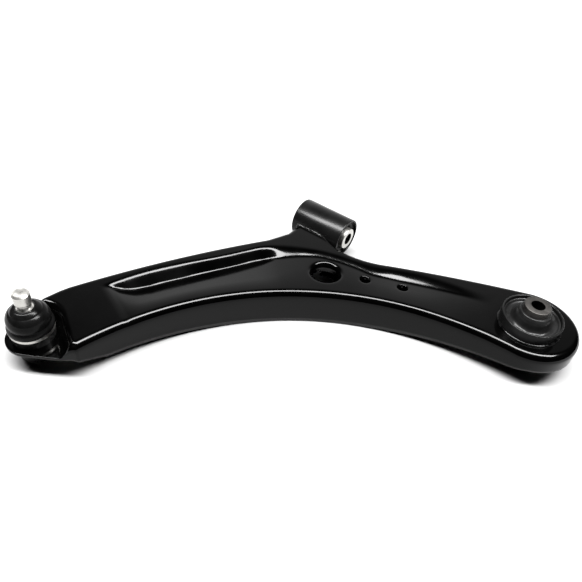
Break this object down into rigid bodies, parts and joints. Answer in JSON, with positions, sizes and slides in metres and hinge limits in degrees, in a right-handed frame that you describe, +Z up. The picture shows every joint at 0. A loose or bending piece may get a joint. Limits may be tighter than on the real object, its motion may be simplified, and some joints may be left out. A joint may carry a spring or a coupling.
{
  "type": "suspension control arm",
  "caption": "Pressed-steel lower suspension arm with a horizontal front bush, a vertical rear bush and a ball joint with a pinch-bolt stud.",
  "frame": {"origin": "centre of the rear bush", "axes": "+X from the rear bush to the front bush along the arm's pivot axis, +Y outboard to the ball joint, +Z up along the rear bush's bore"},
  "size_m": [0.4682, 0.4195, 0.083],
  "materials": {
    "arm_paint": "gloss black dip coating",
    "bush_rubber": "moulded matte",
    "boot_rubber": "smooth satin",
    "bright_steel": "turned, zinc plated",
    "sleeve_steel": "grey phosphated",
    "cup_steel": "satin black",
    "housing_steel": "satin black",
    "seat_plastic": "natural acetal"
  },
  "bodies": {
    "arm": {"upper_shell": "arm_paint", "lower_plate": "arm_paint", "ear_weld": "arm_paint", "near_seam_weld": "arm_paint", "far_seam_weld": "arm_paint", "rear_seam_weld": "arm_paint", "rear_cup_weld": "arm_paint", "front_tube": "arm_paint", "front_outer_sleeve": "sleeve_steel", "front_rubber": "bush_rubber", "rear_outer_sleeve": "cup_steel", "rear_rubber": "bush_rubber", "ball_joint_housing": "housing_steel", "housing_circlip": "sleeve_steel", "ball_seat": "seat_plastic", "seat_spring": "sleeve_steel", "housing_cover": "housing_steel", "boot_lower_ring": "bright_steel", "dust_boot": "boot_rubber"},
    "front_sleeve": {"front_inner_sleeve": "bright_steel"},
    "rear_sleeve": {"rear_inner_sleeve": "sleeve_steel"},
    "boot_ring": {"boot_upper_ring": "housing_steel"},
    "stud": {"ball_stud": "bright_steel"}
  },
  "joints": [
    {"name": "front_bush_twist", "type": "hinge", "parent": "arm", "child": "front_sleeve", "pos_m": [0.266, 0, 0.004], "axis": [1, 0, 0], "range_deg": [-20, 20], "stiffness_Nm_per_rad": 20},
    {"name": "rear_bush_tilt", "type": "hinge", "parent": "arm", "child": "rear_sleeve", "pos_m": [0, 0, 0], "axis": [1, 0, 0], "range_deg": [-12, 12], "stiffness_Nm_per_rad": 30, "deforming": ["rear_rubber"]},
    {"name": "stud_swing", "type": "hinge", "parent": "arm", "child": "boot_ring", "pos_m": [0.387, 0.335, -0.014], "axis": [1, 0, 0], "range_deg": [-20, 20], "deforming": ["dust_boot"]},
    {"name": "stud_turn", "type": "hinge", "parent": "boot_ring", "child": "stud", "pos_m": [0.387, 0.335, -0.014], "axis": [0, 0, 1], "continuous": true}
  ]
}
